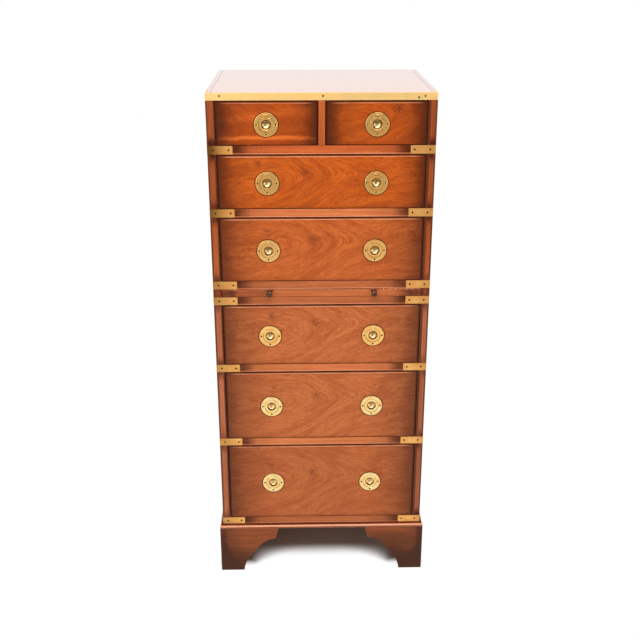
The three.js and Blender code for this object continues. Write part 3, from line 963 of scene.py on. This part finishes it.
def front_veneer_finish():
    """Matched leaves: their number moves the figure on slowly from row to row."""
    finish, here = start_finish(
        "front_veneer", Coat_Weight=0.06, Coat_Roughness=0.06, IOR=1.32, Specular_Tint=warm_sheen)

    def on_map(name):
        return here.lay("UVMap", {}, uv_map=name)

    leaf = on_map("leaf")
    number = here.lay("Attribute", {}, "Fac", attribute_name="leaf_number")
    deep = number * 0.012
    flat = joined(leaf.axis("X"), leaf.axis("Y"), deep)
    place = swayed(swayed(flat, 14, 0.009), 80, 0.003)
    x, y = place.axis("X"), place.axis("Y")
    level = joined(x, y, 0)

    # Two knots and one broad swelling lift the grain, which then runs in arches.
    height = y + x * -0.1
    knots = []
    for centre, rise, reach in (((-0.108, 0.046, 0), 0.008, 0.011),
                                ((-0.014, 0.031, 0), 0.008, 0.016),
                                ((0.12, 0.03, 0), 0.016, 0.03)):
        push, fall = mound(level, centre, rise, reach)
        height = height + push
        knots.append(fall)
    above = height - 0.022
    arch = x.fade(-0.09, 0.11, 0, 0.08) + (above * above + 0.00018).reckon("SQRT")
    contour = joined(x, arch, deep + y)
    lines = figure(contour, (12, 360, 30), 4, 0.66)
    fine = figure(contour, (70, 900, 60), 3, 0.7)
    clouds = figure(contour, (14, 60, 12), 3, 0.6)
    flecks = figure(contour, (90, 560, 90), 3, 0.7)

    # The lower rows are painted paler, a painted reflection of the bright floor, and the
    # top and bottom rows darker with painted shade; the top left drawer is darker still.
    painted_floor_sheen = number.fade(1.8, 4.4, 0, 0.85)
    light = tint(painted_floor_sheen, front_light, pale_light)
    dark = tint(painted_floor_sheen, front_dark, pale_dark)
    colour = tint(lines.fade(0.12, 0.74), dark, light)
    row_shade = larger(number.fade(2, 1, 0, 0.3), number.fade(5, 6, 0, 0.16),
                     number.fade(0.98, 0.92, 0, 0.48))
    for tone in (fine.fade(0.62, 0.36, 0, 0.34),
                 flecks.fade(0.5, 0.64) * number.fade(1, 6, 0.58, 0.36),
                 row_shade, clouds.fade(0.6, 0.36) * number.fade(1, 4, 0.42, 0.34)):
        colour = tint(tone, colour, front_deep)

    # Pale streaks, low and high, in the top left drawer alone.
    low_streak = abs(y - 0.004).fade(0.0065, 0)
    high_streak = abs(y - x.reckon("MULTIPLY_ADD", 0.12, 0.04)).fade(0.012, 0, 0, 0.3)
    streak = larger(low_streak, high_streak) * lines.fade(0.25, 0.6, 0.35, 0.85)
    colour = tint(streak * number.fade(0.98, 0.92), colour, streak_light)

    # Knots are broken dark smudges, with a few loose specks.
    smudge = larger(knots[0].reckon("POWER", 2.5), knots[1].reckon("POWER", 2.5))
    smudge = smudge * figure(flat, (150, 190, 60), 3, 0.7).fade(0.36, 0.6)
    specks = figure(flat, (85, 110, 40), 1).fade(0.74, 0.8) * 0.6
    for dirt in (smudge * number.fade(3, 5.5, 0.78, 0.5), specks):
        colour = tint(dirt, colour, knot_dark)

    # Darker at the ends, broad and uneven; darker lines at the edges and round each
    # handle; and painted shadow along the top edge, under the rail.
    from_low, from_high = on_map("from_low"), on_map("from_high")
    below_top = from_high.axis("Y")
    sideways = from_low.axis("X").reckon("MINIMUM", from_high.axis("X"))
    upright = from_low.axis("Y").reckon("MINIMUM", below_top)
    patchy = figure(flat, 26, 3)
    broad = (sideways / number.fade(1, 4, 0.074, 0.112)).fade(1, 0, 0, 0.48)
    ends = (sideways / patchy.fade(0.25, 0.75, 0.028, 0.052)).fade(1, 0)
    around = on_map("handles")
    off_centre = joined(abs(around.axis("X")) - handle_offset, around.axis("Y"), 0)
    off_centre = off_centre.lay("VectorMath", {0: off_centre}, 1, operation="LENGTH")
    for stain in (broad, ends * number.fade(1, 4, 0.8, 0.5),
                  sideways.fade(0.005, 0.0025, 0, 0.9),
                  (upright / 0.01).fade(1, 0, 0, 0.24),
                  off_centre.fade(0.0268, 0.025, 0, 0.8),
                  below_top.fade(0.0034, 0.0026, 0, 0.72)):
        colour = tint(stain, colour, front_stain_and_shade)
    # Painted highlight: a pale line just below the top arris, weaker on the top row.
    top_edge = below_top.fade(0.003, 0.0036) * below_top.fade(0.0056, 0.0046)
    top_edge = top_edge * patchy.fade(0.3, 0.6, 0.45, 0.9) * sideways.fade(0.004, 0.03)
    colour = tint(top_edge * number.fade(1, 2, 0.5, 0.9), colour, top_edge_highlight_colour)
    return complete(finish, colour, clouds, 0.34, 0.26, fine + lines * 0.5, 0.15)


front_finish = front_veneer_finish()
# Painted shade: the sides of each front and its eased arrises are painted near black, for the shade
# in the gaps round the drawer.
front_edge_shade_finish = wood_finish(
    "front_edge_painted_shade", (62, 24, 12), (44, 16, 8), (30, 10, 6), rough=0.7, coat=0.0, shine=1.1)
front_back_finish = wood_finish("front_back", *lining, line=0.006, sway=0.015, rough=0.5, coat=0.0)

# How far each leaf is shifted on its drawer, and its place in the row of leaves, for
# each drawer in turn from the top left one down.
leaves = ((0.075, 0.03, 0.9), (-0.055, -0.002, 1), (0.02, 0.006, 2), (0.004, 0.006, 3),
          (0, 0, 4), (-0.004, 0.002, 5), (0.006, 0.004, 6))

handles = []
for body in drawer_bodies:
    row = body.split("_")[1]
    for side in [body.split("_")[2]] if row == "1" else ["left", "right"]:
        low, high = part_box(f"handle_{row}_{side}_plate")
        centre = ((low.x + high.x) / 2, low.y, high.z - handle_radius)
        handles.append((body, f"{row}_{side}", centre))

for body, (shift_x, shift_z, number) in zip(drawer_bodies, leaves):
    low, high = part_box(body + "_front")
    front = eased_copy(body + "_front", body + "_veneered_front", 0)
    for owner, place, (x, y, z) in handles:
        if owner == body:
            handle_z = z
            cut(front, disc("housing", housing_radius, low.y - 0.01, low.y + housing_depth, x, z))
    open_up(front)
    pick(front, "edges", lambda e: abs(e.calc_face_angle(0.0) - math.radians(45)) < 0.1
         and all(v.co.y < low.y + touching for v in e.verts))
    bpy.ops.mesh.bevel(offset=front_arris, segments=3, affect="EDGES")
    close_up()
    smooth(front, 30)

    def on_side(face):
        middle = face.center
        return (middle.x < low.x + 1e-4 or middle.x > high.x - 1e-4
                or middle.z < low.z + 1e-4 or middle.z > high.z - 1e-4)

    dress(front, front_finish, body, "front_veneer", body + "_front")
    refinish(front, front_back_finish, lambda f: f.center.y > low.y + veneer_depth)
    refinish(front, front_edge_shade_finish, lambda f: (abs(f.normal.y) < 0.3 and on_side(f))
             or (f.center.y < low.y + veneer_depth and 0.3 < abs(f.normal.y) < 0.9))
    middle_x = (low.x + high.x) / 2
    lay_map(front, "leaf", lambda co: (co.x - middle_x + shift_x, co.z - handle_z + shift_z))
    lay_map(front, "handles", lambda co: (co.x, co.z - handle_z))
    lay_map(front, "from_low", lambda co: (co.x - low.x, co.z - low.z))
    lay_map(front, "from_high", lambda co: (high.x - co.x, high.z - co.z))
    leaf_number = front.data.attributes.new("leaf_number", "FLOAT", "POINT")
    leaf_number.data.foreach_set("value", [number] * len(front.data.vertices))


# Flush ring handles. A cast brass plate is let into the drawer front and held by
# three countersunk screws. A flat ring lies in its recess, turning on a lug at the
# top, and a fingertip reaches under it from the cup in the middle.
plate_thickness = 0.0042
ring_outer = 0.015
ring_inner = 0.01
ring_set = 0.0003
ring_back = 0.0027
lug_width = 0.009
lug_round = 0.00115
lug_ease = 0.0002
pivot_height = 0.0195
pivot_depth = 0.0015
stub_radius = 0.0008
stub_end = 0.0059
recess = 0.003
cup_depth = 0.007
plate_hole_radius = 0.0024
plate_hole_depth = 0.0011
screw_circle = 0.0192
screw_clock = {"three": 0, "six": -90, "nine": 180}
handle_light = (255, 206, 126)
handle_dark = (250, 186, 104)
handle_pale = (255, 226, 160)
handle_tarnish = (92, 58, 26)
cup_tone = (222, 188, 132)
cup_shade = (74, 60, 34)


def handle_finish():
    """Turned and polished brass, darkened in the grooves and at the rim where polish never reaches;
    handles low on the chest are painted paler, a painted reflection, and the cup has a painted
    duller tone with painted shade in its upper half.
    """
    finish, here = start_finish("handle_brass", Metallic=1.0)
    face = here.lay("UVMap", {}, uv_map="turning")
    radius = face.lay("VectorMath", {0: face}, 1, operation="LENGTH")
    clouds = figure(here, 90, 4, 0.6)
    spots = figure(here, 700, 3, 0.6)
    feeds = {"W": radius * 2600, "Scale": 1, "Detail": 2}
    rings = here.lay("TexNoise", feeds, "Fac", noise_dimensions="1D")
    # Painted reflection: handles lower down are painted paler, as if lit by the bright floor.
    lower = here.axis("Z").fade(0.62, 0.42)
    colour = tint(clouds.fade(0.35, 0.65), tint(lower, handle_dark, handle_light),
                  tint(lower, handle_light, handle_pale))
    in_cup = radius.fade(0.0104, 0.0098)
    rim = abs(radius - 0.0155).fade(0.0012, 0)
    grime = larger(rim, radius.fade(0.023, 0.0239)) * 0.45
    # Tarnish spots, then the cup's painted reflection tone and painted shade in its upper half,
    # then grime in the grooves and at the rim.
    for amount, over in ((spots.fade(0.62, 0.78) * 0.18, handle_tarnish), (in_cup, cup_tone),
                         (face.axis("Y").fade(-0.003, 0.003) * in_cup * 0.86, cup_shade),
                         (grime, handle_tarnish)):
        colour = tint(amount, colour, over)
    return complete(finish, colour, clouds, 0.3, 0.2, rings, 0.05, 0.00003)


def face_off(piece):
    """Smooths a turned piece but leaves its forward faces truly flat, and maps it."""
    smooth(piece, 30)
    open_up(piece)
    pick(piece, "faces", lambda f: f.normal.y < -0.999)
    bpy.ops.mesh.faces_shade_flat()
    close_up()
    lay_map(piece, "turning", lambda co: (co.x, co.z))


def screw_place(bearing):
    turn = math.radians(bearing)
    return Vector((screw_circle * math.cos(turn), 0, screw_circle * math.sin(turn)))


cup_line = []
for step in range(17):
    turn = math.radians(90) * step / 16
    cup_line.append((max(ring_inner * math.cos(turn), 1e-6), recess + cup_depth * math.sin(turn)))
plate_profile = [
    (1e-6, 0.012), (0.012, 0.012), (0.012, plate_thickness), (handle_radius, plate_thickness),
    (handle_radius, 0.0008), (0.0238, 0.0003), (0.0234, 0.00006), (0.0229, 0.0),
    (0.0158, 0.0), (0.01545, 0.00008), (0.0153, 0.0003), (0.0153, recess)] + cup_line
plate_pattern = turned("plate_pattern", plate_profile, 96)
cut(plate_pattern, board("slot", (-0.0048, -0.001, 0.0095), (0.0048, recess, 0.021)))
for bearing in screw_clock.values():
    cut(plate_pattern, screw_hole(plate_hole_radius, plate_hole_depth, screw_place(bearing)))
face_off(plate_pattern)

ring_profile = [
    (ring_inner, ring_back), (ring_inner, 0.0009), (0.01012, 0.0005), (0.0105, ring_set),
    (0.0145, ring_set), (0.01488, 0.0005), (ring_outer, 0.0009), (ring_outer, ring_back),
    (ring_inner, ring_back)]
ring_pattern = turned("ring_pattern", ring_profile, 96)
lug = board("lug", (-lug_width / 2, ring_set, 0.0125), (lug_width / 2, ring_back, 0.0207))
open_up(lug)
pick(lug, "edges", lambda e: all(v.co.z > 0.02 for v in e.verts)
     and abs(e.verts[0].co.y - e.verts[1].co.y) < 1e-6)
bpy.ops.mesh.bevel(offset=lug_round, segments=5, affect="EDGES")
close_up()
ease(lug, lug_ease, 2, 50)
barrel = disc("barrel", stub_radius, -stub_end, stub_end, sides=20)
barrel.rotation_euler = (0, 0, math.radians(90))
barrel.location = (0, pivot_depth, pivot_height)
settle(barrel)
for extra in (lug, barrel):
    join_solid(ring_pattern, extra, "UNION")
face_off(ring_pattern)

polished = handle_finish()
for body, place, centre in handles:
    name = "handle_" + place
    plate = copied(plate_pattern, name + "_turned_plate", centre)
    dress(plate, polished, body, "brass", name + "_plate")
    ring = copied(ring_pattern, name + "_turned_ring", centre)
    dress(ring, polished, "ring_" + place, "brass", name + "_ring")
    for clock, bearing in screw_clock.items():
        offset = Vector(centre) + screw_place(bearing) + Vector((0, screw_set, 0))
        drive_screw(f"{name}_screw_{clock}", offset, body)
discard(plate_pattern, ring_pattern, screw_pattern)


# Studio. A white floor that keeps the shadow of the chest, with painted shadow added
# under it and round the feet, a white surround, large soft lamps, and the dim end of
# the room behind the camera, seen in the polish.
white = (1, 1, 1, 1)
soft_light = 0.32


def seen_rays(tree):
    """1 for what is seen straight, in a polish or through a glass, and 0 for light."""
    kinds = ("Is Camera Ray", "Is Glossy Ray", "Is Transmission Ray")
    return larger(*(lay(tree, "LightPath", {}, kind) for kind in kinds))


def floor_finish():
    """White paper, as bright as the background away from the chest; near and under it the glow
    fades and painted shadow darkens the paper, reaching forward along the feet.
    """
    finish, here = start_finish(
        "studio_white", Roughness=0.8, Specular_IOR_Level=0.1, Emission_Color=white)
    beside, forward = abs(here.axis("X")), here.axis("Y")
    out_x = larger(beside - 0.19, 0)
    out_y = larger(abs(forward - 0.07) - 0.152, 0)
    away = (out_x * out_x + out_y * out_y).reckon("SQRT")
    # Painted shadow: an arch of shade that reaches forward along the inner sides of the front feet.
    reach = larger((forward + 0.18) * 1.8, 0.008).reckon("MINIMUM", 0.16)
    gap = larger(0.174 - beside, 0)
    by_foot = larger((gap / reach).fade(0, 1), forward.fade(-0.146, -0.178),
                     beside.fade(0.232, 0.246), forward.fade(0.18, 0.2))
    lit = away.fade(0, 0.062) * by_foot * seen_rays(finish.node_tree)
    paper_and_shadow = tint(away.fade(0, 0.07) * by_foot, (142, 134, 126), (246, 246, 246))
    feed(finish, Emission_Strength=lit, Base_Color=tint(lit, paper_and_shadow, (20, 20, 20)))
    return finish


floor = sheet("studio_floor", (0, 1.6, 0), 9, 8.7, turn=(0, 0, 0))
floor.data.materials.append(floor_finish())

room_finish, _ = start_finish("room_grey", Roughness=0.9, Base_Color=(0.05, 0.05, 0.05, 1),
                              Emission_Strength=0.42, Emission_Color=(1.0, 0.96, 0.9, 1))
room_end = sheet("room_end", (0, -2.9, 2.0), 9, 4.4)
room_end.data.materials.append(room_finish)
room_end.visible_camera = False
room_end.visible_diffuse = False
room_end.visible_shadow = False

world = bpy.data.worlds.new("studio")
bpy.context.scene.world = world
world.use_nodes = True
tree = world.node_tree
tree.nodes.clear()
soft = lay(tree, "Background", {0: white, 1: soft_light})
bright = lay(tree, "Background", {0: white, 1: 1})
either = lay(tree, "MixShader", {0: seen_rays(tree), 1: soft, 2: bright})
lay(tree, "OutputWorld", {0: either})

lamps = (("key_lamp", (-1.3, -2.3, 1.3), (1.5, 1.5), 15),
         ("fill_lamp", (1.8, -1.9, 1.0), (1.4, 1.4), 8),
         ("top_lamp", (0.0, -1.05, 2.6), (2.2, 1.4), 56))
for name, place, (width, height), power in lamps:
    lamp = bpy.data.lights.new(name, "AREA")
    lamp.shape = "RECTANGLE"
    lamp.size = width
    lamp.size_y = height
    lamp.energy = power
    holder = placed(name, lamp)
    holder.location = place
    aim = Vector((0, -0.18, 0.6)) - Vector(place)
    holder.rotation_euler = aim.to_track_quat("-Z", "Y").to_euler()

camera = bpy.data.cameras.new("camera")
camera.lens = 53.11
camera.sensor_width = 36
camera_holder = placed("camera", camera)
camera_holder.location = (-0.0467, -2.0704, 1.3765)
camera_holder.rotation_euler = (math.radians(68.565), 0, math.radians(-1.308))
bpy.context.scene.camera = camera_holder
bpy.context.scene.view_settings.view_transform = "Standard"
